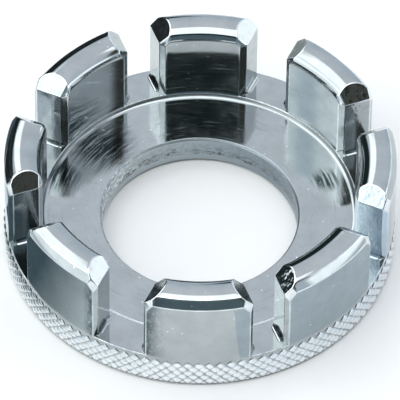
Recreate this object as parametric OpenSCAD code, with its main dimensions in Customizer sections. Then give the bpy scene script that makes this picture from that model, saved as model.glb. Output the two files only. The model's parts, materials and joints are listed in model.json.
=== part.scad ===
// Round spoke wrench: one turned, milled and knurled steel ring. Eight teeth stand on it,
// and the eight slots between them fit nipples of eight sizes. The bottom face lies on z = 0,
// the bore is on the z axis, and slot A opens to the left of +X, half a pitch round.

/* [Ring] */
// Diameter over the knurled rim
rim_d = 50; // [46:0.5:60]
// Height of the knurled rim above the bottom face
rim_h = 4.1; // [2:0.1:4.4]
// How far the knurl stands out from the wall above it, per side
rim_proud = 0.2; // [0.1:0.05:1]
// Bevel on the rim's top and bottom edges
rim_bevel = 0.3; // [0.1:0.05:0.8]
// Height over the tops of the teeth
ring_h = 15.7; // [14:0.1:20]
// Diameter of the through bore
bore_d = 25; // [15:0.5:28]
// Bevel on both edges of the bore
bore_bevel = 0.25; // [0.1:0.05:0.6]

/* [Pocket] */
// Height of the pocket's floor above the bottom face
pocket_floor_h = 4; // [2.5:0.1:4.2]
// Fillet between the pocket's floor and its wall
pocket_fillet = 0.8; // [0.3:0.1:1.5]

/* [Teeth] */
// Thickness of a tooth, from the outer wall in to the pocket
tooth_t = 4.6; // [4:0.1:5.6]
// Radius of the crown across a tooth, which is highest at mid thickness
crown_round = 3; // [2.9:0.1:5]
// Rounding of the top edge over the pocket
inner_round = 1.5; // [0.5:0.1:1.8]
// Width of the bevel on the top edge over the outer wall
outer_bevel_w = 0.75; // [0.3:0.05:1.2]
// Height of that bevel
outer_bevel_h = 1.05; // [0.4:0.05:1.6]
// Depth of the lead-in bevel at both ends of a tooth, from its highest point
end_bevel = 1.85; // [0.8:0.05:3]
// Bevel on the upright corners of a tooth
corner_bevel = 0.6; // [0.3:0.05:1]
// How far the slanted facet over an outer corner falls from the end bevel to the wall
outer_fall = 0.9; // [0.2:0.05:1.5]
// How far the facet over an inner corner falls
inner_fall = 0.5; // [0.2:0.05:1]

/* [Slots] */
// Height of the slots' floor above the bottom face
slot_floor_h = 4.5; // [4.5:0.1:8]
// Fillet between a slot's floor and its sides
slot_fillet = 0.5; // [0.2:0.05:1]
// Width of slot A, the first to the left of +X
slot_a_w = 5; // [3.2:0.05:6.6]
// Width of slot B
slot_b_w = 5.5; // [3.2:0.05:6.6]
// Width of slot C
slot_c_w = 4.3; // [3.2:0.05:6.6]
// Width of slot D
slot_d_w = 5; // [3.2:0.05:6.6]
// Width of slot E
slot_e_w = 5.9; // [3.2:0.05:6.6]
// Width of slot F, the widest
slot_f_w = 6.2; // [3.2:0.05:6.6]
// Width of slot G, the narrowest
slot_g_w = 4.1; // [3.2:0.05:6.6]
// Width of slot H
slot_h_w = 4.6; // [3.2:0.05:6.6]

/* [Hidden] */
$fn = 120;
// How far each cutter runs past the surface that it cuts
overrun = 1;
// Steps in each drawn arc of an outline
arc_steps = 8;

slot_ws = [slot_a_w, slot_b_w, slot_c_w, slot_d_w, slot_e_w, slot_f_w, slot_g_w, slot_h_w];
slot_pitch = 360 / len(slot_ws);
rim_r = rim_d / 2;
wall_r = rim_r - rim_proud;
bore_r = bore_d / 2;
pocket_r = wall_r - tooth_t;

// The crown is one arc. The inner rounding touches it and the pocket's wall.
crown_centre = [wall_r - tooth_t / 2, ring_h - crown_round];
inner_lean = asin((tooth_t / 2 - inner_round) / (crown_round - inner_round));
inner_centre = [pocket_r + inner_round,
    crown_centre.y + (crown_round - inner_round) * cos(inner_lean)];
crown_lean = asin((tooth_t / 2 - outer_bevel_w) / crown_round);
bevel_top_h = crown_centre.y + crown_round * cos(crown_lean);
end_bevel_h = ring_h - end_bevel;
cut_top_h = ring_h + overrun;

function arc(centre, radius, from, to) =
    [for (i = [0:arc_steps]) let (a = from + (to - from) * i / arc_steps)
        centre + radius * [cos(a), sin(a)]];

// Half of the ring's section, from the bottom face round the outside and back to the bore
function ring_section() = concat(
    [[bore_r, 0], [rim_r - rim_bevel, 0], [rim_r, rim_bevel], [rim_r, rim_h - rim_bevel],
     [wall_r, rim_h], [wall_r, bevel_top_h - outer_bevel_h]],
    arc(crown_centre, crown_round, 90 - crown_lean, 90 + inner_lean),
    arc(inner_centre, inner_round, 90 + inner_lean, 180),
    arc([pocket_r - pocket_fillet, pocket_floor_h + pocket_fillet], pocket_fillet, 0, -90),
    [[bore_r, pocket_floor_h]]);

// Section of a slot: filleted floor, upright sides and a bevelled mouth
function slot_section(w) =
    let (side = w / 2, rise = cut_top_h - end_bevel_h,
         corner = [side - slot_fillet, slot_floor_h + slot_fillet],
         right = concat(arc(corner, slot_fillet, -90, 0),
             [[side, end_bevel_h], [side + rise, cut_top_h]]))
    concat(right, [for (i = [len(right) - 1:-1:0]) [-right[i].x, right[i].y]]);

module slot(w) {
    translate([bore_r, 0, 0]) rotate([90, 0, 90])
        linear_extrude(wall_r + overrun - bore_r) polygon(slot_section(w));
}

// Two cuts at one upright corner: the bevel itself, and the slanted facet over it, which
// starts at the foot of the end bevel and falls to the wall, whose run makes an angle of turn.
// The corner lies at the origin, and the material goes away from it along +Y and -X.
module corner_cut(fall, turn) {
    rise = cut_top_h - end_bevel_h;
    rotate([0, 0, -45]) corner_prism(2 * corner_bevel,
        [[0, slot_floor_h], [corner_bevel, slot_floor_h], [corner_bevel, cut_top_h], [0, cut_top_h]]);
    lean = (corner_bevel + fall) / corner_bevel;
    slope = norm([lean, 1]);
    reach = corner_bevel + fall;
    rotate([0, 0, turn - atan(1 / lean)]) corner_prism(reach + rise,
        [[fall / slope, end_bevel_h - fall], [reach, end_bevel_h - fall], [reach, cut_top_h],
         [-rise / slope, cut_top_h]]);
}

// Upright prism with its section in X and Z. It runs from just before the corner along +Y.
module corner_prism(length, section) {
    translate([0, length, 0]) rotate([90, 0, 0])
        linear_extrude(length + corner_bevel) polygon(section);
}

// The four corners that face one slot
module corner_cuts(w) {
    side = w / 2;
    outer_x = sqrt(pow(wall_r, 2) - pow(side, 2)) - corner_bevel;
    inner_x = sqrt(pow(pocket_r, 2) - pow(side, 2)) + corner_bevel;
    for (m = [0, 1]) mirror([0, m, 0]) {
        translate([outer_x, side, 0]) corner_cut(outer_fall, 0);
        translate([inner_x, side, 0]) mirror([1, 0, 0])
            corner_cut(inner_fall, -2 * asin(side / pocket_r));
    }
}

module bore() {
    translate([0, 0, -overrun]) cylinder(h = cut_top_h, r = bore_r);
    translate([0, 0, -overrun])
        cylinder(h = overrun + bore_bevel, r1 = bore_r + bore_bevel + overrun, r2 = bore_r);
    translate([0, 0, pocket_floor_h - bore_bevel])
        cylinder(h = overrun + bore_bevel, r1 = bore_r, r2 = bore_r + bore_bevel + overrun);
}

module wrench_ring() {
    color([0.8, 0.82, 0.84]) difference() {
        rotate_extrude() polygon(ring_section());
        bore();
        for (i = [0:len(slot_ws) - 1]) rotate([0, 0, (i + 0.5) * slot_pitch]) {
            slot(slot_ws[i]);
            corner_cuts(slot_ws[i]);
        }
    }
}

wrench_ring();
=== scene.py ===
import json
import math
import bmesh
import bpy
import numpy as np
from mathutils import Matrix, Vector

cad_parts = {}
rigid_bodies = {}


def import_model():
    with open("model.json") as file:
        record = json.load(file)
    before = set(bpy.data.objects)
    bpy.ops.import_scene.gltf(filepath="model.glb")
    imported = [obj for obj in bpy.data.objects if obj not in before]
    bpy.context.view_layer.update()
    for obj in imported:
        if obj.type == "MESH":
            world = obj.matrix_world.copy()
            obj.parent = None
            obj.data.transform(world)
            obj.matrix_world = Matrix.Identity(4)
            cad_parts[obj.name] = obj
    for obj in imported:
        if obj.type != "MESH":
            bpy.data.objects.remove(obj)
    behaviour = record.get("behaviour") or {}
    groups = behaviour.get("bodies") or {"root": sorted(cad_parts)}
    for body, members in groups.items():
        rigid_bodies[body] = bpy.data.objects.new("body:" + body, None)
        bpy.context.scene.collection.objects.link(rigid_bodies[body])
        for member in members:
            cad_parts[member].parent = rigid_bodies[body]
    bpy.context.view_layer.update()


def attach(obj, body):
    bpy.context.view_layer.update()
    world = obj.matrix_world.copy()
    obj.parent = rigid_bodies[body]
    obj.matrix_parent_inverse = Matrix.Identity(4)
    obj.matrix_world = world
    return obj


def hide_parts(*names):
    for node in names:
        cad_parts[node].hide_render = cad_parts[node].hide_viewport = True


for thing in list(bpy.data.objects):
    bpy.data.objects.remove(thing)
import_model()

# The view: a long lens well above the bench, a little to the right of the front tooth, so near
# and far sides come out almost the same size. The lens was worked out from the ring's own
# circles in the photograph, which is square.
mm = 0.001
view_dist, view_height, view_aim = 834.9 * mm, math.radians(49.459), math.radians(49.165)
view_roll, view_side = math.radians(-0.8), math.radians(1.214)


def put(name, data):
    """A new object at the origin, linked into the scene."""
    thing = bpy.data.objects.new(name, data)
    bpy.context.scene.collection.objects.link(thing)
    return thing


camera = bpy.data.cameras.new("camera")
camera.sensor_width, camera.lens = 36, 588.1
camera.clip_start, camera.clip_end = 0.05, 20
camera_object = put("camera", camera)
forward = Vector((0, math.cos(view_aim), -math.sin(view_aim)))
right = Vector((1, 0, 0))
down = forward.cross(right)
camera_right = right * math.cos(view_roll) + down * math.sin(view_roll)
camera_down = down * math.cos(view_roll) - right * math.sin(view_roll)
stand = Matrix((camera_right, -camera_down, -forward)).transposed().to_4x4()
stand.translation = Vector((0, -math.cos(view_height), math.sin(view_height))) * view_dist
camera_object.matrix_world = Matrix.Rotation(view_side, 4, "Z") @ stand
bpy.context.scene.camera = camera_object

# The ring: the turned part of the tool, one piece of steel with the teeth. Its bore, pocket and
# rim are cut on a lathe, the slots' floors are milled, and all of it is chrome plated. It has a
# material of its own for the plate, the bore, the pocket, the underside, the slots and worn lips,
# and several of them carry painted highlights and painted shade.
rim_r, rim_top, rim_bevel, groove_r = 25.0, 4.1, 0.3, 24.76
wall_r, pocket_r, pocket_fillet, floor_h = 24.8, 20.2, 0.8, 4.0
bore_r, bore_bevel, slot_floor = 12.5, 0.25, 4.5
edge_round, hidden = 0.09, 0.006
lathe_steps, fillet_steps, corner_steps = 360, 10, 4
micron = 1e-6
# chrome, duller chrome, and the colour of painted highlights and glints
chrome, dull_chrome, painted_highlight = (0.46, 0.495, 0.505), (0.36, 0.39, 0.40), (0.88, 0.93, 0.95)
lip_gloss = 0.3
# painted dark reflections on one side of the pocket floor: x, y, z and reach in mm
dark_reflection_places = (-13.2, 10.9, floor_h, 5.2), (16.0, 6.3, floor_h, 2.3), (-17.9, 5.6, floor_h, 3.0)


def corner(before, at, after, radius):
    """Points and normals of a rounded corner in a section that runs with the metal on its right."""
    a = np.array(before, float) - at
    b = np.array(after, float) - at
    a /= np.linalg.norm(a)
    b /= np.linalg.norm(b)
    half = math.acos(np.clip(a @ b, -1, 1)) / 2
    centre = at + (a + b) / np.linalg.norm(a + b) * radius / math.sin(half)
    start = at + a * radius / math.tan(half) - centre
    end = at + b * radius / math.tan(half) - centre
    turn = math.atan2(start[0] * end[1] - start[1] * end[0], start @ end)
    out = []
    for i in range(corner_steps + 1):
        t = turn * i / corner_steps
        d = np.array([start[0] * math.cos(t) - start[1] * math.sin(t),
                      start[0] * math.sin(t) + start[1] * math.cos(t)])
        out.append((centre + d, d / radius))
    return out


def bare_mesh(name, points, faces, materials, face_material=None):
    """A mesh shaded smooth, with the number of each face's material."""
    mesh = bpy.data.meshes.new(name)
    mesh.from_pydata([tuple(p) for p in points], [], faces)
    for m in materials:
        mesh.materials.append(m)
    if face_material is not None:
        mesh.polygons.foreach_set("material_index", face_material)
    mesh.polygons.foreach_set("use_smooth", [True] * len(mesh.polygons))
    mesh.update()
    return mesh


def metal(name, color, roughness):
    m = bpy.data.materials.new(name)
    m.use_nodes = True
    surface = m.node_tree.nodes["Principled BSDF"]
    surface.inputs["Base Color"].default_value = (*color, 1)
    surface.inputs["Metallic"].default_value = 1
    surface.inputs["Roughness"].default_value = roughness
    return m, m.node_tree, surface


def node(kind, **settings):
    """A new node in the tree that is being built, which is always called tree."""
    n = tree.nodes.new(kind)
    for key, value in settings.items():
        setattr(n, key, value)
    return n


def wire(a, b):
    tree.links.new(a, b)


def feed(value, socket):
    """Links a socket's value, and sets a number or a colour on the socket itself."""
    if isinstance(value, bpy.types.NodeSocket):
        wire(value, socket)
    else:
        socket.default_value = value


def calc(operation, *values, clamp=False):
    n = node("ShaderNodeMath", operation=operation, use_clamp=clamp)
    for value, socket in zip(values, n.inputs):
        feed(value, socket)
    return n.outputs[0]


def plus(a, b, clamp=False):
    return calc("ADD", a, b, clamp=clamp)


def minus(a, b, clamp=False):
    return calc("SUBTRACT", a, b, clamp=clamp)


def times(a, b, clamp=False):
    return calc("MULTIPLY", a, b, clamp=clamp)


def ramp(value, low, high, to_low=0.0, to_high=1.0):
    n = node("ShaderNodeMapRange")
    for name, number in (("From Min", low), ("From Max", high), ("To Min", to_low), ("To Max", to_high)):
        n.inputs[name].default_value = number
    wire(value, n.inputs["Value"])
    return n.outputs[0]


def fade(place, start, full):
    """A mask that is 0 at the start and 1 where it is full, both in mm."""
    return ramp(place, start * mm, full * mm)


def noise(vector, scale, detail=2.0, rough=0.5):
    n = node("ShaderNodeTexNoise")
    for name, number in (("Scale", scale), ("Detail", detail), ("Roughness", rough)):
        n.inputs[name].default_value = number
    wire(vector, n.inputs["Vector"])
    return n.outputs[0]


def vector_of(x, y, z):
    n = node("ShaderNodeCombineXYZ")
    for value, socket in zip((x, y, z), n.inputs):
        feed(value, socket)
    return n.outputs[0]


def parts_of(vector):
    n = node("ShaderNodeSeparateXYZ")
    wire(vector, n.inputs[0])
    return n.outputs


def place_on_tool():
    spot = node("ShaderNodeTexCoord").outputs["Object"]
    return spot, *parts_of(spot)


def radius_at(x, y):
    return calc("SQRT", plus(times(x, x), times(y, y)))


def tint(mask, first, second):
    """The first colour where the mask is 0, and the second where it is 1."""
    n = node("ShaderNodeMix", data_type="RGBA")
    wire(mask, n.inputs[0])
    for color, socket in ((first, n.inputs[6]), (second, n.inputs[7])):
        feed(color if isinstance(color, bpy.types.NodeSocket) else (*color, 1), socket)
    return n.outputs[2]


def near_to(spot, *places):
    """A mask round places given in mm with their reach, for painted reflections, painted shade and dents
    that one side of the tool has.
    """
    mask = None
    for *at, reach in places:
        apart = node("ShaderNodeVectorMath", operation="DISTANCE")
        wire(spot, apart.inputs[0])
        apart.inputs[1].default_value = [v * mm for v in at]
        near = fade(apart.outputs["Value"], reach, reach * 0.4)
        mask = near if mask is None else calc("MAXIMUM", mask, near)
    return mask


def dots(spot, scale, rim, middle, where):
    """Small round dots, at most one in a cell, in the places that a mask leaves."""
    cells = node("ShaderNodeTexVoronoi")
    cells.inputs["Scale"].default_value = scale
    wire(spot, cells.inputs["Vector"])
    return times(ramp(cells.outputs["Distance"], rim, middle), where)


def dress(surface, color, roughness, height):
    """Gives a metal its colour and roughness, and a bump whose height is in micrometres."""
    wire(color, surface.inputs["Base Color"])
    feed(roughness, surface.inputs["Roughness"])
    bump = node("ShaderNodeBump")
    bump.inputs["Distance"].default_value = micron
    wire(height, bump.inputs["Height"])
    wire(bump.outputs["Normal"], surface.inputs["Normal"])


def effect(name, inputs, outputs):
    """A node group with the usual values of its inputs, and the sockets at both its ends."""
    group = bpy.data.node_groups.new(name, "ShaderNodeTree")
    for label, usual in inputs.items():
        socket = group.interface.new_socket(label, in_out="INPUT", socket_type="NodeSocketFloat")
        socket.default_value = usual
    for label in outputs:
        group.interface.new_socket(label, in_out="OUTPUT", socket_type="NodeSocketFloat")
    return group, group.nodes.new("NodeGroupInput").outputs, group.nodes.new("NodeGroupOutput").inputs


def use(group, values=()):
    """An effect placed in a material, with the material's own values for its inputs."""
    n = node("ShaderNodeGroup", node_tree=group)
    for label, value in dict(values).items():
        n.inputs[label].default_value = value
    return n.outputs


# slow waves under a fine peel, dull clouds and pits, which plating and barrel polishing leave everywhere,
# and scattered bright specks that are painted glints. Heights and depths are in micrometres.
skin, given, results = effect("plating_skin", {"Wave Height": 12, "Peel Height": 1, "Pit Depth": 0},
                              ("Height", "Cloud", "Pits", "Painted Glints"))
tree = skin
spot = place_on_tool()[0]
pits = dots(spot, 1500, 0.17, 0.08, ramp(noise(spot, 700), 0.56, 0.64))
waves = times(noise(spot, 260, 1.0), given["Wave Height"])
peel = times(noise(spot, 1500), given["Peel Height"])
wire(minus(plus(waves, peel), times(pits, given["Pit Depth"])), results["Height"])
wire(ramp(noise(spot, 330, 4.0, 0.6), 0.38, 0.66), results["Cloud"])
wire(pits, results["Pits"])
# the specks are painted glints, in the colour of painted highlights
wire(dots(spot, 1100, 0.16, 0.09, ramp(noise(spot, 1700, 1.0), 0.6, 0.66)), results["Painted Glints"])

# what the lathe leaves: rings round the tool's axis, short arcs rubbed into them, and scores
turning, given, results = effect("lathe_rings", {"Rings per Metre": 4200, "Ring Height": 5, "Arc Depth": 0},
                                 ("Height", "Rings", "Arcs", "Scores"))
tree = turning
_, x, y, z = place_on_tool()
radius = radius_at(x, y)
round_x, round_y = calc("DIVIDE", x, radius), calc("DIVIDE", y, radius)
depth = times(plus(radius, z), given["Rings per Metre"])


def drawn_round(turns, fineness, detail, rough):
    """Noise that is stretched along the cut. It changes more often on the way round with more turns."""
    at = vector_of(times(round_x, turns), times(round_y, turns), times(depth, fineness))
    return noise(at, 1.0, detail, rough)


rings, arcs = drawn_round(1.6, 1.0, 3.0, 0.6), ramp(drawn_round(6, 0.8, 3.0, 0.65), 0.57, 0.74)
wire(minus(times(rings, given["Ring Height"]), times(arcs, given["Arc Depth"])), results["Height"])
wire(rings, results["Rings"])
wire(arcs, results["Arcs"])
wire(drawn_round(3.5, 0.8, 4.0, 0.7), results["Scores"])

# the pocket: painted dark reflections in three places, two painted highlight lines along its fillet
# with a painted dark line between them, and a painted highlight line along its edge at the front
floor_metal, tree, surface = metal("turned_chrome", chrome, 0.16)
made = use(skin, {"Wave Height": 4.2, "Peel Height": 0.35, "Pit Depth": 3})
marks = use(turning, {"Arc Depth": 1.6})
spot, _, y, z = place_on_tool()
# painted dark reflections in three places on the pocket floor
painted_dark_reflection = times(near_to(spot, *dark_reflection_places), ramp(marks["Scores"], 0.43, 0.53))
fillet = fade(z, floor_h + 0.04, floor_h + 0.3)
# along the front edge: a painted highlight line, which is also rougher
front_lip = times(fade(y, -8, -14), fade(z, floor_h + 0.003, floor_h + 0.02))
# a painted dark line between the fillet's two painted highlight lines
painted_dark_line = times(fade(z, floor_h + 0.08, floor_h + 0.16), fade(z, slot_floor - 0.08, slot_floor - 0.16))
stains_and_shade = plus(times(marks["Arcs"], 0.2), times(painted_dark_reflection, 0.95), clamp=True)
stains_and_shade = calc("MAXIMUM", stains_and_shade, times(painted_dark_line, 0.5))
stains_and_shade = plus(stains_and_shade, times(made["Cloud"], 0.12), clamp=True)
# painted highlights: two lines along the fillet, the glints, and the line along the front edge
bright = times(minus(fillet, painted_dark_line, clamp=True), 0.6)
bright = calc("MAXIMUM", calc("MAXIMUM", made["Painted Glints"], bright), front_lip)
color = tint(bright, tint(stains_and_shade, chrome, (0.04, 0.06, 0.065)), painted_highlight)
gloss = plus(ramp(made["Cloud"], 0, 1, 0.08, 0.15), times(marks["Arcs"], 0.16))
gloss = plus(plus(gloss, times(front_lip, 0.5)), times(fillet, 0.25))
dress(surface, color, gloss, plus(made["Height"], marks["Height"]))
surface.inputs["Anisotropic"].default_value = 0.6
surface.inputs["Anisotropic Rotation"].default_value = 0.25
wire(node("ShaderNodeTangent", direction_type="RADIAL", axis="Z").outputs[0], surface.inputs["Tangent"])

# the bore: clean at its lower end and torn above, more so in a band, with painted highlights at the left,
# and painted shade that makes it darker towards the right
bore_metal, tree, surface = metal("rough_bore", (0.4, 0.42, 0.4), 0.4)
spot, x, y, z = place_on_tool()
torn = noise(vector_of(x, y, times(z, 1.7)), 1500, 5.0, 0.75)
patchy = noise(spot, 420, 3.0, 0.6)
level = plus(z, times(minus(torn, 0.5), 1.4 * mm))
rough = fade(level, 1.1, 1.4)
band = times(rough, fade(level, 3.0, 1.9))
dark = times(rough, ramp(torn, 0.44, 0.62))
dark = times(dark, plus(0.25, times(band, ramp(patchy, 0.35, 0.6))), clamp=True)
# painted shade: the bore is lighter at the left and darker at the right
side = tint(fade(x, -11.5, 9), (0.52, 0.58, 0.61), (0.28, 0.33, 0.37))
# painted highlights where it is torn, at the left
left_glints = times(times(rough, ramp(torn, 0.5, 0.42)), fade(x, -7.5, -10))
dress(surface, tint(left_glints, tint(dark, side, (0.09, 0.10, 0.10)), painted_highlight),
      ramp(rough, 0, 1, 0.25, 0.42), minus(times(times(torn, rough), 55), times(rough, 14)))

# the plate on rim and teeth: polished, with a dull grainy streak down the front tooth's left side
plate_metal, tree, surface = metal("polished_chrome", chrome, 0.06)
made = use(skin, {"Pit Depth": 3})
_, x, y, z = place_on_tool()
grain = noise(vector_of(x, y, times(z, 0.5)), 2200, 3.0, 0.7)
streak = fade(plus(x, times(grain, 4.5 * mm)), -1.4, -3.6)
streak = times(times(streak, fade(y, -20.5, -21.2)), fade(z, slot_floor, slot_floor + 0.2))
dulled = plus(times(made["Cloud"], 0.16), times(streak, ramp(grain, 0.36, 0.6, 0.25, 1)), clamp=True)
gloss = plus(ramp(made["Cloud"], 0, 1, 0.045, 0.09), times(made["Pits"], 0.3))
dress(surface, tint(made["Painted Glints"], tint(dulled, chrome, (0.06, 0.085, 0.1)), painted_highlight),
      plus(gloss, times(streak, 0.2)), made["Height"])

# the slots' floors: the mill's passes, and painted shade in the slot at the left front
slot_metal, tree, surface = metal("milled_slots", chrome, 0.1)
made = use(skin)
_, x, y, z = place_on_tool()
passes = noise(vector_of(times(x, 0.5), y, z), 2600, 3.0, 0.6)
# painted shade: a dark patch in the slot at the left front
painted_slot_shade = times(fade(x, -18, -19.5), fade(y, -1, -3))
dress(surface, tint(painted_slot_shade, tint(times(made["Cloud"], 0.6), chrome, dull_chrome), (0.17, 0.22, 0.23)),
      ramp(passes, 0.3, 0.7, 0.045, 0.1), plus(made["Height"], times(passes, 5)))

# the underside, faced on the lathe and left duller
under_metal, tree, surface = metal("faced_underside", chrome, 0.25)
made, marks = use(skin), use(turning, {"Ring Height": 14})
dress(surface, tint(made["Cloud"], chrome, dull_chrome), ramp(marks["Rings"], 0.3, 0.7, 0.16, 0.3),
      plus(made["Height"], marks["Height"]))

# the lips of pocket and slots, nicked and rubbed, and painted lighter in patches as a sheen
lip_metal, tree, surface = metal("worn_lip_painted_sheen", (0.62, 0.66, 0.68), lip_gloss)
made = use(skin)
nicks = noise(place_on_tool()[0], 1900, 3.0, 0.65)
# painted sheen: the lips turn lighter where the nicks' noise is high
dress(surface, tint(ramp(nicks, 0.4, 0.62), (0.46, 0.50, 0.52), painted_highlight), lip_gloss,
      plus(made["Height"], times(nicks, 25)))

# the section, from the bore's lower edge up, over pocket, slot floor and ledge, and down the rim.
# Each entry is a point, its outward normal and the material of the strip that follows.
plated, bored, turned, faced, milled, lipped = range(6)
section = []
under_mid = (20.0, 0.0)
fillet_mid = np.array([pocket_r - pocket_fillet, floor_h + pocket_fillet])
fillet_end = -math.asin((fillet_mid[1] - slot_floor) / pocket_fillet)
fillet_low = -math.pi / 2
lip = fillet_mid + pocket_fillet * np.array([math.cos(fillet_end), math.sin(fillet_end)])
along = np.array([-math.sin(fillet_end), math.cos(fillet_end)])


def add_corner(before, at, after, radius, on_corner, beyond):
    run = corner(before, np.array(at), after, radius)
    section.extend([(p, n, on_corner) for p, n in run[:-1]] + [(*run[-1], beyond)])


sharp = [((bore_r + bore_bevel, 0), plated), ((bore_r, bore_bevel), bored),
         ((bore_r, floor_h - bore_bevel), bored), ((bore_r + bore_bevel, floor_h), turned)]
outline = [under_mid] + [s[0] for s in sharp] + [tuple(fillet_mid - (0, pocket_fillet))]
for i, (at, zone) in enumerate(sharp):
    add_corner(outline[i], at, outline[i + 2], edge_round, plated, zone)
for i in range(fillet_steps):
    a = fillet_low + (fillet_end - fillet_low) * i / fillet_steps
    d = np.array([math.cos(a), math.sin(a)])
    section.append((fillet_mid + pocket_fillet * d, -d, turned))
ledge = wall_r - hidden
add_corner(lip - along, lip, (wall_r, slot_floor), edge_round, lipped, milled)
add_corner(lip, (ledge, slot_floor), (ledge, rim_top), edge_round, lipped, plated)
section += [(np.array([r, rim_top]), np.array([1.0, 0.0]), plated) for r in (ledge, groove_r)]
low = [((groove_r, rim_bevel), plated), ((rim_r - rim_bevel, 0), faced)]
outline = [(groove_r, rim_top), low[0][0], low[1][0], under_mid]
for i, (at, zone) in enumerate(low):
    add_corner(outline[i], at, outline[i + 2], edge_round / 2, plated, zone)
turns = np.arange(lathe_steps) * 2 * math.pi / lathe_steps


def turned_round(pairs):
    r, z = np.array(pairs).T
    return np.stack([np.outer(np.cos(turns), r), np.outer(np.sin(turns), r),
                     np.outer(np.ones(lathe_steps), z)], -1).reshape(-1, 3)


n = len(section)
faces, zones = [], []
for i in range(lathe_steps):
    j = (i + 1) % lathe_steps
    for k in range(n):
        beyond = (k + 1) % n
        faces.append((i * n + k, i * n + beyond, j * n + beyond, j * n + k))
        zones.append(section[k][2])
ring = put("ring", bare_mesh("ring", turned_round([s[0] for s in section]) * mm, faces,
           [plate_metal, bore_metal, floor_metal, under_metal, slot_metal, lip_metal], zones))
normals = turned_round([s[1] for s in section])
ring.data.normals_split_custom_set_from_vertices([tuple(v) for v in normals])
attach(ring, "root")
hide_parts("wrench_ring")

# The teeth: eight of them, milled out of the ring's upright wall by the slots between them.
# Their crowns are turned and polished, and each end has a lead-in bevel and broken corners.
# They share the ring's plate, and have materials of their own for milled ends and for edges painted bright
# as a highlight.
ring_h, tooth_t, crown_round, inner_round = 15.7, 4.6, 3.0, 1.5
outer_bevel_w, outer_bevel_h, end_bevel, corner_bevel = 0.75, 1.05, 1.85, 0.6
outer_fall, inner_fall, slot_fillet = 0.9, 0.5, 0.5
slot_widths = (5.0, 5.5, 4.3, 5.0, 5.9, 6.2, 4.1, 4.6)
tooth_step = 2 * math.pi / len(slot_widths)
tooth_edge = 0.11
sunk = 0.2
bevel_foot = ring_h - end_bevel
# painted shade on one end and dents on two: x, y, z and reach in mm
shaded_end_place = (12.2, 18.9, 14.9, 5.4)
dented_ends = (19.4, 12.0, 14.6, 3.6), (12.3, -19.3, 14.8, 3.4)

# the rounded edges and two small corners, painted bright as a highlight, with a little cloud
edge_metal, tree, surface = metal("edges_painted_highlight", (0.86, 0.89, 0.9), 0.14)
made = use(skin, {"Wave Height": 19.2, "Peel Height": 1.6})
dress(surface, tint(made["Cloud"], (0.86, 0.89, 0.90), (0.56, 0.60, 0.62)),
      plus(ramp(made["Cloud"], 0, 1, 0.1, 0.2), times(made["Pits"], 0.3)), made["Height"])

# the milled ends: upright tool lines, battered and painted lighter as a sheen at the right front,
# painted shade on one end at the right rear, and two with dents
cut_metal, tree, surface = metal("milled_ends", chrome, 0.12)
made = use(skin)
spot, x, y, z = place_on_tool()
lines = noise(vector_of(x, y, times(z, 0.1)), 1500, 3.0, 0.6)
dents = noise(spot, 900, 4.0, 0.6)
# battered at the right front, with a painted sheen that makes it lighter there
battered_with_sheen = times(fade(x, 17, 19.5), fade(y, 0, -2))
color = tint(battered_with_sheen, tint(ramp(dents, 0.5, 0.8), chrome, (0.33, 0.355, 0.36)), (0.6, 0.69, 0.76))
# painted shade on one end at the right rear
painted_end_shade = times(near_to(spot, shaded_end_place), ramp(dents, 0.3, 0.5, 0.7, 1), clamp=True)
pocks = times(noise(spot, 850), times(near_to(spot, *dented_ends), 140))
height = plus(times(lines, 7), plus(made["Height"], times(dents, plus(6, times(battered_with_sheen, 60)))))
dress(surface, tint(painted_end_shade, color, (0.07, 0.095, 0.09)),
      plus(ramp(lines, 0.3, 0.7, 0.06, 0.15), times(battered_with_sheen, 0.16)), plus(height, pocks))

crown_mid = np.array([wall_r - tooth_t / 2, ring_h - crown_round])
inner_lean = math.asin((tooth_t / 2 - inner_round) / (crown_round - inner_round))
inner_mid = np.array([pocket_r + inner_round,
                      crown_mid[1] + (crown_round - inner_round) * math.cos(inner_lean)])
crown_lean = math.asin((tooth_t / 2 - outer_bevel_w) / crown_round)
crown_edge = crown_mid + crown_round * np.array([math.sin(crown_lean), math.cos(crown_lean)])
wall_top = crown_edge[1] - outer_bevel_h


def on_section(s):
    """Point of a tooth's section. s counts its stretches: inner wall, rounding, crown, bevel, outer wall."""
    k, t = int(min(s, 4)), s - int(min(s, 4))
    if k == 0:
        z = slot_floor - sunk + (inner_mid[1] - slot_floor + sunk) * t
        drop = max(0.0, fillet_mid[1] - max(z, slot_floor))
        return fillet_mid[0] + math.sqrt(pocket_fillet ** 2 - drop ** 2), z
    if k == 1:
        a = math.pi - (math.pi / 2 - inner_lean) * t
        return tuple(inner_mid + inner_round * np.array([math.cos(a), math.sin(a)]))
    if k == 2:
        a = math.pi / 2 + inner_lean - (inner_lean + crown_lean) * t
        return tuple(crown_mid + crown_round * np.array([math.cos(a), math.sin(a)]))
    if k == 3:
        return crown_edge[0] + outer_bevel_w * t, crown_edge[1] - outer_bevel_h * t
    return wall_r, wall_top + (slot_floor - sunk - wall_top) * t


def inner_wall_at(z):
    return (z - slot_floor + sunk) / (inner_mid[1] - slot_floor + sunk)


def outer_wall_at(z):
    return 4 + (wall_top - z) / (wall_top - slot_floor + sunk)


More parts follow.
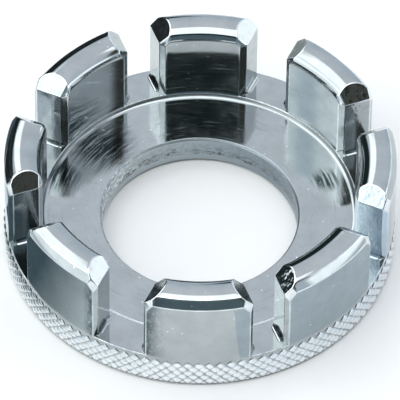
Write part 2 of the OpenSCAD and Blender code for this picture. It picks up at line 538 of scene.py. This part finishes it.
def tooth_end(w):
    """The surfaces that end a tooth beside a slot of width w, as angles from the slot's middle."""
    side = w / 2
    outer = np.array([math.sqrt(wall_r ** 2 - side ** 2) - corner_bevel, side])
    inner = np.array([math.sqrt(pocket_r ** 2 - side ** 2) + corner_bevel, side])
    q = math.sqrt(0.5)
    a = math.atan(corner_bevel / (corner_bevel + outer_fall))
    b = 2 * math.asin(side / pocket_r) + math.atan(corner_bevel / (corner_bevel + inner_fall))
    # each plane's normal seen from above, a point on it, and how far it leans in with height
    planes = {"inner corner": (np.array([-q, -q]), inner, 0), "outer corner": (np.array([q, -q]), outer, 0),
              "outer lean": (np.array([math.cos(a), -math.sin(a)]), outer, math.sin(a)),
              "inner lean": (np.array([-math.cos(b), -math.sin(b)]), inner,
                             corner_bevel / math.hypot(corner_bevel + inner_fall, corner_bevel))}

    def stand_off(z):
        if z > bevel_foot:
            return side + z - bevel_foot
        rise = min(max(slot_floor + slot_fillet - z, 0.0), slot_fillet)
        return side - slot_fillet + math.sqrt(slot_fillet ** 2 - rise ** 2)

    def angle(which, r, z):
        if which == "end":
            return math.asin(stand_off(z) / r)
        n, at, slope = planes[which]
        return math.atan2(n[1], n[0]) + math.acos((n @ at - (z - bevel_foot) * slope) / r)

    def crossing(first, second, low, high):
        def gap(s):
            return angle(first, *on_section(s)) - angle(second, *on_section(s))
        sign = gap(low)
        for _ in range(50):
            mid = (low + high) / 2
            low, high = (mid, high) if gap(mid) * sign > 0 else (low, mid)
        return low

    breaks = [crossing("inner corner", "inner lean", inner_wall_at(bevel_foot - 1.2), 1.0),
              crossing("inner lean", "end", 1.0, 1.999), crossing("end", "outer lean", 3.0, 3.999),
              crossing("outer lean", "outer corner", 4.0, outer_wall_at(bevel_foot - 2))]
    return dict(side=side, inner=inner, outer=outer, stand_off=stand_off, angle=angle, breaks=breaks)


# heights of the rows round a tooth's foot, close together where the slot's fillet is steep
fillet_turns = (20, 38, 54, 68, 80)
rows = [slot_floor - sunk, slot_floor] + [slot_floor + slot_fillet * (1 - math.cos(math.radians(a)))
                                          for a in fillet_turns] + [slot_floor + slot_fillet]
rows = [round(v, 6) for v in rows]
nr = len(rows)
# the section's stretches from foot to foot: how many strips each has, and which surface ends them
strips = [1] * (nr - 1) + [2, 1, 6, 5, 20, 1, 1, 1, 2] + [1] * (nr - 1)
ended_by = (["inner corner"] * nr + ["inner lean"] * 2 + ["end"] * 3 + ["outer lean"] * 2
            + ["outer corner"] * nr)
at_break = [sum(strips[:k]) for k in range(len(strips) + 1)]
k1, k2, k3, k4 = (at_break[nr + k] for k in (0, 2, 5, 7))
along_steps = 26
on_wall, on_end, on_edge = range(3)
tooth_points, tooth_faces, tooth_zones, edge_pairs = [], [], [], set()


def add_point(x, y, z):
    tooth_points.append((x * mm, y * mm, z * mm))
    return len(tooth_points) - 1


def end_point(x, y, z, side, turn):
    """A point beside a slot, in a frame that looks out along the slot, mirrored for its other side."""
    y *= (1, -1)[side]
    return add_point(x * math.cos(turn) - y * math.sin(turn), x * math.sin(turn) + y * math.cos(turn), z)


for t in range(len(slot_widths)):
    ends = [tooth_end(slot_widths[t - 1]), tooth_end(slot_widths[t])]
    mid_angle = t * tooth_step
    stations = []
    for e in ends:
        knots = ([inner_wall_at(v) for v in rows] + [e["breaks"][0], 1.0, e["breaks"][1], 2.0, 3.0 - 1e-9,
                 e["breaks"][2], 4.0 - 1e-9, e["breaks"][3]] + [outer_wall_at(v) for v in rows[::-1]])
        station = [(knots[k] + (knots[k + 1] - knots[k]) * i / strips[k], ended_by[k])
                   for k in range(len(strips)) for i in range(strips[k])]
        stations.append(station + [(knots[-1], "outer corner")])
    grid = []
    for first, last in zip(*stations):
        low, high = (e["angle"](name, *on_section(s)) for e, (s, name) in zip(ends, (first, last)))
        low, high = low - tooth_step / 2, tooth_step / 2 - high
        line = []
        for i in range(along_steps + 1):
            u = i / along_steps
            r, z = on_section(first[0] * (1 - u) + last[0] * u)
            a = mid_angle + low * (1 - u) + high * u
            line.append(add_point(r * math.cos(a), r * math.sin(a), z))
        grid.append(line)
    for near, far in zip(grid[:-1], grid[1:]):
        tooth_faces += [(near[i], near[i + 1], far[i + 1], far[i]) for i in range(along_steps)]
    tooth_zones += [on_wall] * (len(tooth_faces) - len(tooth_zones))
    for j in (at_break[nr + 4], at_break[nr + 6]):      # both edges of the outer bevel
        edge_pairs.update(zip(grid[j][:-1], grid[j][1:]))
    bottoms = []
    for side, e in enumerate(ends):
        rim = [line[-side] for line in grid]
        turn = mid_angle + (side - 0.5) * tooth_step
        inner_line, outer_line = [], []
        for z in rows:
            spread = e["side"] - e["stand_off"](z)
            inner_line.append(end_point(e["inner"][0] + spread, e["side"] - spread, z, side, turn))
            outer_line.append(end_point(e["outer"][0] - spread, e["side"] - spread, z, side, turn))
        top_in = end_point(*e["inner"], bevel_foot, side, turn)
        top_out = end_point(*e["outer"], bevel_foot, side, turn)
        upright = [rim[:nr], inner_line, outer_line, rim[:-nr - 1:-1]]
        for left, right in zip(upright[:-1], upright[1:]):
            tooth_faces += [(left[i], left[i + 1], right[i + 1], right[i]) for i in range(nr - 1)]
        tooth_faces += [(inner_line[-1], top_in, *rim[nr - 1:k1 + 1][::-1]),
                        (top_in, *rim[k1:k2 + 1]),
                        (top_out, top_in, *rim[k2:k3 + 1]),
                        (top_out, *rim[k3:k4 + 1]),
                        (outer_line[-1], top_out, *rim[k4:len(rim) - nr + 1]),
                        (inner_line[-1], outer_line[-1], top_out, top_in)]
        tooth_zones += [on_end] * (len(tooth_faces) - len(tooth_zones))
        tooth_zones[-5] = tooth_zones[-3] = on_edge     # the two small leaning corners
        for chain in (rim, inner_line + [top_in, top_out] + outer_line[::-1], [rim[k1], top_in, rim[k2]],
                      [rim[k3], top_out, rim[k4]]):
            edge_pairs.update(zip(chain[:-1], chain[1:]))
        bottoms.append((inner_line[0], outer_line[0]))
    tooth_faces.append((*grid[0], *bottoms[1], *grid[-1][::-1], *bottoms[0][::-1]))
    tooth_zones.append(on_wall)
teeth_mesh = bare_mesh("teeth", tooth_points, tooth_faces, [plate_metal, cut_metal, edge_metal], tooth_zones)
bm = bmesh.new()
bm.from_mesh(teeth_mesh)
bmesh.ops.recalc_face_normals(bm, faces=bm.faces)
bm.to_mesh(teeth_mesh)
bm.free()
pairs = {tuple(sorted(p)) for p in edge_pairs}
weights = [float(tuple(sorted(e.vertices)) in pairs) for e in teeth_mesh.edges]
teeth_mesh.attributes.new("bevel_weight_edge", "FLOAT", "EDGE").data.foreach_set("value", weights)
buried = (slot_floor - sunk) * mm + 1e-9
under = [all(teeth_mesh.vertices[v].co.z < buried for v in e.vertices) for e in teeth_mesh.edges]
teeth_mesh.attributes.new("sharp_edge", "BOOLEAN", "EDGE").data.foreach_set("value", under)
teeth = put("teeth", teeth_mesh)
bevel = teeth.modifiers.new("edges", "BEVEL")
bevel.limit_method = "WEIGHT"
bevel.width = tooth_edge * mm
bevel.segments = 3
bevel.material = on_edge
bevel.use_clamp_overlap = False
weighted = teeth.modifiers.new("normals", "WEIGHTED_NORMAL")
weighted.weight = 100
weighted.keep_sharp = True


def apply_modifiers(piece):
    """Puts the mesh that an object's modifiers make in place of its own."""
    bpy.context.view_layer.update()
    finished = bpy.data.meshes.new_from_object(piece.evaluated_get(bpy.context.evaluated_depsgraph_get()))
    piece.modifiers.clear()
    piece.data = finished
    finished.name = piece.name


apply_modifiers(teeth)
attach(teeth, "root")
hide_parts("wrench_ring")

# The knurl: crossed grooves rolled into the rim at 45 degrees each way, for grip. The metal
# between them is left as rows of small raised pads, worn smooth on top and plated. The pads are
# made flat, side by side, and then pressed and wrapped round the rim by Geometry Nodes.
shallow = 0.28              # how much less one set of grooves bites than the other
crowding = 0.88             # pulls a pad's grid lines towards the grooves, where it is steep
# the pads' colour is painted light: darker down in the grooves as painted shade and light on the tops as a
# painted highlight, where wear also leaves them smoother
shade_and_wear_from, shade_and_wear_to = 24.76, 24.89
knurl_metal, tree, surface = metal("knurled_chrome", (0.62, 0.65, 0.66), 0.2)
made = use(skin)
spot, x, y, z = place_on_tool()
ragged_shift = times(minus(noise(spot, 1400, 3.0), 0.5), 0.26 * mm)
wear_and_groove_shade = fade(plus(radius_at(x, y), ragged_shift), shade_and_wear_from, shade_and_wear_to)
grit = noise(spot, 5000, 3.0)
dress(surface, tint(wear_and_groove_shade, (0.38, 0.41, 0.43), (0.89, 0.92, 0.94)),
      plus(ramp(wear_and_groove_shade, 0, 1, 0.35, 0.2), ramp(grit, 0.4, 0.7, 0, 0.12)), plus(made["Height"], times(grit, 5)))

knurl = put("knurl", bpy.data.meshes.new("knurl"))
tree = bpy.data.node_groups.new("rolled_knurl", "GeometryNodeTree")
tree.interface.new_socket("Geometry", in_out="INPUT", socket_type="NodeSocketGeometry")
tree.interface.new_socket("Geometry", in_out="OUTPUT", socket_type="NodeSocketGeometry")
knurl_sizes = {"Pads Around": ("NodeSocketInt", 114), "Rows": ("NodeSocketInt", 6),
               "Groove Radius": ("NodeSocketFloat", groove_r * mm), "Depth": ("NodeSocketFloat", 0.24 * mm),
               "Row Step": ("NodeSocketFloat", 0.7 * mm), "Top": ("NodeSocketFloat", 4.14 * mm),
               "Edge Radius": ("NodeSocketFloat", (rim_r - rim_bevel) * mm),
               "Squareness": ("NodeSocketFloat", 3.0), "Unevenness": ("NodeSocketFloat", 0.16),
               "Metal": ("NodeSocketMaterial", knurl_metal)}
sockets = {name: tree.interface.new_socket(name, in_out="INPUT", socket_type=kind)
           for name, (kind, _) in knurl_sizes.items()}
given, result = node("NodeGroupInput").outputs, node("NodeGroupOutput").inputs[0]


def moved(geometry, position):
    n = node("GeometryNodeSetPosition")
    wire(geometry, n.inputs["Geometry"])
    wire(position, n.inputs["Position"])
    return n.outputs[0]


def passed(kind, geometry):
    n = node(kind)
    wire(geometry, n.inputs[0])
    return n, n.outputs[0]


# one pad, a small grid turned by 45 degrees
half_pitch = calc("DIVIDE", times(given["Groove Radius"], math.pi), given["Pads Around"])
pad = node("GeometryNodeMeshGrid")
for name, value in (("Size X", 1), ("Size Y", 1), ("Vertices X", 7), ("Vertices Y", 7)):
    pad.inputs[name].default_value = value
sides = []
for off in parts_of(node("GeometryNodeInputPosition").outputs[0])[:2]:
    sides.append(times(off, minus(1 + crowding / 4, times(times(off, off), crowding))))
tilted = vector_of(times(minus(*sides), half_pitch), times(plus(*sides), given["Row Step"]), 0)

# its copies, row under row, each row half a pad further on
spots = node("GeometryNodePoints")
wire(times(given["Pads Around"], given["Rows"]), spots.inputs["Count"])
index = node("GeometryNodeInputIndex").outputs[0]
row = calc("FLOOR", calc("DIVIDE", plus(index, 0.5), given["Pads Around"]))
column = minus(index, times(row, given["Pads Around"]))
wire(vector_of(times(plus(times(column, 2), calc("MODULO", row, 2)), half_pitch),
               minus(given["Top"], times(plus(row, 1), given["Row Step"])), 0), spots.inputs["Position"])
copies = node("GeometryNodeInstanceOnPoints")
wire(spots.outputs[0], copies.inputs["Points"])
wire(moved(pad.outputs["Mesh"], tilted), copies.inputs["Instance"])
_, laid_out = passed("GeometryNodeRealizeInstances", copies.outputs[0])

# one roller bit deeper on each half of the rim, so each half shows one set of grooves more
position = node("GeometryNodeInputPosition").outputs[0]
flat_x, flat_y, _ = parts_of(position)
bearing = calc("DIVIDE", flat_x, given["Groove Radius"])
round_step = calc("DIVIDE", flat_x, half_pitch)
down_step = calc("DIVIDE", minus(flat_y, given["Top"]), given["Row Step"])
right_half = ramp(calc("COSINE", bearing), -0.3, 0.12)
height = times(given["Depth"], minus(1, times(noise(position, 900), given["Unevenness"])))
for step, left_bite, right_bite in ((plus(down_step, round_step), 1 - shallow, 1),
                                    (minus(down_step, round_step), 1, 1 - shallow)):
    off_middle = calc("ABSOLUTE", minus(calc("FRACT", times(step, 0.5)), 0.5))
    groove = calc("POWER", times(off_middle, 2), given["Squareness"])
    bite = plus(left_bite, times(right_half, right_bite - left_bite))
    height = times(height, minus(1, times(groove, bite)))
level = calc("MAXIMUM", flat_y, 0)
radius = calc("MINIMUM", plus(given["Groove Radius"], height), plus(given["Edge Radius"], level))
wrapped = vector_of(times(radius, calc("COSINE", bearing)), times(radius, calc("SINE", bearing)), level)
joined, mesh = passed("GeometryNodeMergeByDistance", moved(laid_out, wrapped))
joined.inputs["Distance"].default_value = 0.004 * mm
_, mesh = passed("GeometryNodeSetShadeSmooth", mesh)
coat, mesh = passed("GeometryNodeSetMaterial", mesh)
wire(given["Metal"], coat.inputs["Material"])
wire(mesh, result)
rolled = knurl.modifiers.new("knurl", "NODES")
rolled.node_group = tree
for name, (_, value) in knurl_sizes.items():
    rolled[sockets[name].identifier] = value
apply_modifiers(knurl)
knurl.data.materials.pop(index=0)       # the empty slot that the grid came with
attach(knurl, "root")
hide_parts("wrench_ring")

# The room: a plain pale floor under a soft studio sky, which is all the light there is. Chrome
# shows its surroundings, so the sky has soft lights and dark parts where a photographer's room
# has them, and a black card and shades on the floor are seen by reflections only.
world = bpy.data.worlds.new("studio")
bpy.context.scene.world = world
world.use_nodes = True
sky = world.node_tree
patch = bpy.data.node_groups.new("sky_patch", "ShaderNodeTree")
for name, kind in (("Behind", "Color"), ("Toward", "Vector"), ("Across", "Vector"),
                   ("Upright", "Vector"), ("Half Width", "Float"), ("Half Height", "Float"),
                   ("Softness", "Float"), ("Glow", "Color")):
    patch.interface.new_socket(name, in_out="INPUT", socket_type="NodeSocket" + kind)
patch.interface.new_socket("Sky", in_out="OUTPUT", socket_type="NodeSocketColor")
tree = patch
given, result = node("NodeGroupInput").outputs, node("NodeGroupOutput").inputs[0]
look = node("ShaderNodeTexCoord").outputs["Generated"]
ways = []
for name in ("Toward", "Across", "Upright"):
    dot = node("ShaderNodeVectorMath", operation="DOT_PRODUCT")
    wire(look, dot.inputs[0])
    wire(given[name], dot.inputs[1])
    ways.append(dot.outputs["Value"])
# a patch is a rectangle on a plane ahead of the tool, so nothing behind the tool is inside it
ahead = calc("MAXIMUM", ways[0], 0.0001)
inside = calc("GREATER_THAN", ways[0], 0.01)
for way, half in zip(ways[1:], ("Half Width", "Half Height")):
    edge = node("ShaderNodeMapRange", interpolation_type="SMOOTHSTEP")
    wire(calc("ABSOLUTE", calc("DIVIDE", way, ahead)), edge.inputs["Value"])
    wire(plus(given[half], given["Softness"]), edge.inputs["From Min"])
    wire(minus(given[half], given["Softness"]), edge.inputs["From Max"])
    inside = times(inside, edge.outputs[0])
wire(tint(inside, given["Behind"], given["Glow"]), result)

tree = sky
low_sky, high_sky = (0.74, 0.84, 0.94), (0.99, 1.01, 1.08)
light = tint(ramp(parts_of(node("ShaderNodeTexCoord").outputs["Generated"])[2], 0.3, 1.0), low_sky, high_sky)
white, teal, black = (2.2, 2.3, 2.32), (0.14, 0.2, 0.23), (0.02, 0.035, 0.035)
# bearing and height of the middle, half width, half height and lean in degrees, softness, colour
sky_patches = [(-108, 42, 42, 22, 0, 0.07, white),            # large light on the left
               (-90, 49, 12, 9, 0, 0.06, (1.5, 1.65, 1.8)),   # a dimmer part of it
               (-62, 57, 18, 10, 0, 0.06, white),             # its far end, high up
               (-27, 41, 10, 7, -18, 0.04, white),            # a small light behind, on the left
               (-110, 11, 27, 8, 0, 0.05, (1.6, 1.7, 1.74)),  # window low on the left
               (90, 12, 31, 8, 0, 0.05, (1.9, 2.0, 2.05)),    # window low on the right
               (180, 70, 30, 24, 0, 0.05, white),             # light overhead
               (174, 21, 36, 27, 0, 0.05, teal),              # dark room behind the camera
               (138, 40, 18, 18, 0, 0.06, (0.1, 0.1, 0.09)),  # more of it, on the right
               (177, 48, 26, 8.5, 0, 0.02, black),            # the camera
               (-42, 9, 37, 22, 12, 0.04, black),             # dark room at the left rear
               (-17, 21, 10, 8, 0, 0.03, black)]              # its end, behind the tool
for bearing, height, wide, tall, lean, soft, glow in sky_patches:
    bearing, height = math.radians(bearing), math.radians(height)
    toward = Vector((math.sin(bearing) * math.cos(height), math.cos(bearing) * math.cos(height),
                     math.sin(height)))
    across = Vector((math.cos(bearing), -math.sin(bearing), 0))
    upright = across.cross(toward)
    spin = Matrix.Rotation(math.radians(lean), 3, toward)
    shape = node("ShaderNodeGroup", node_tree=patch)
    for name, value in (("Toward", toward), ("Across", spin @ across), ("Upright", spin @ upright),
                        ("Half Width", math.tan(math.radians(wide))),
                        ("Half Height", math.tan(math.radians(tall))),
                        ("Softness", soft), ("Glow", (*glow, 1))):
        shape.inputs[name].default_value = value
    wire(light, shape.inputs["Behind"])
    light = shape.outputs[0]
wire(light, sky.nodes["Background"].inputs["Color"])


def matt(name, color):
    m, inner, surface = metal(name, color, 0.9)
    surface.inputs["Metallic"].default_value = 0
    return m, inner, surface


def set_up(name, points, faces, materials, zones=None, seen=True):
    """A piece of the room. One that isn't seen shows in reflections only."""
    thing = put(name, bare_mesh(name, points, faces, materials, zones))
    if not seen:
        thing.visible_camera = thing.visible_diffuse = thing.visible_shadow = False


floor_reach, floor_drop, floor_sides = 3, 0.2 * mm, 64
floor_points = [(0, 0, -floor_drop)] + [(floor_reach * math.cos(a), floor_reach * math.sin(a), -floor_drop)
                                        for a in np.arange(floor_sides) * 2 * math.pi / floor_sides]
floor_mat, _, _ = matt("studio_floor", (0.92, 0.912, 0.905))
set_up("studio_floor", floor_points, [(0, 1 + i, 1 + (i + 1) % floor_sides) for i in range(floor_sides)],
       [floor_mat])

card_mat, _, _ = matt("black_card", (0.02, 0.022, 0.024))
card_bearing, card_away, card_half, card_h = math.radians(-44), 60 * mm, 35 * mm, 30 * mm
card_side = Vector((math.cos(card_bearing), -math.sin(card_bearing), 0)) * card_half
card_mid = Vector((math.sin(card_bearing), math.cos(card_bearing), 0)) * card_away
card_up = Vector((0, 0, card_h))
set_up("black_card", [card_mid - card_side, card_mid + card_side, card_mid + card_side + card_up,
                      card_mid - card_side + card_up], [(0, 1, 2, 3)], [card_mat], seen=False)

shade_mat, tree, surface = matt("floor_shade", (0.1, 0.13, 0.15))
_, x, y, _ = place_on_tool()
color = tint(ramp(calc("DIVIDE", y, x), 0.45, 1.15), (0.06, 0.1, 0.12), (0.66, 0.71, 0.73))
wire(color, surface.inputs["Base Color"])
far_shade, _, _ = matt("floor_far_shade", (0.68, 0.73, 0.77))
panels, shade_lift = 8, 0.05 * mm
# first and last bearing in degrees, nearest and farthest edge in mm, how many panels are dark
shades = (-165, -72, 27, 62, 7), (102, 165, 27, 62, 0), (34, 66, 180, 1500, 0), (-71, -12, 46, 62, 8)
# the teeth's feet are mirrored in the floor this far behind the rim, and this much further round
foot_back, foot_turn = 3.5, 0.1
corners, faces, tones = [], [], []
for first, last, start, reach, dark_panels in shades:
    for k in range(panels + 1):
        b = math.radians(first + (last - first) * k / panels)
        foot = math.sqrt(rim_r ** 2 + foot_back ** 2 - 2 * rim_r * foot_back * math.cos(abs(b) + foot_turn))
        corners += [(d * mm * math.sin(b), d * mm * math.cos(b), shade_lift)
                    for d in (max(start, foot), reach)]
        if k:
            at = len(corners) - 4
            faces.append((at, at + 2, at + 3, at + 1))
            tones.append(int(k > dark_panels))
set_up("floor_shade", corners, faces, [shade_mat, far_shade], tones, seen=False)
view = bpy.context.scene.view_settings
view.view_transform = "Standard"
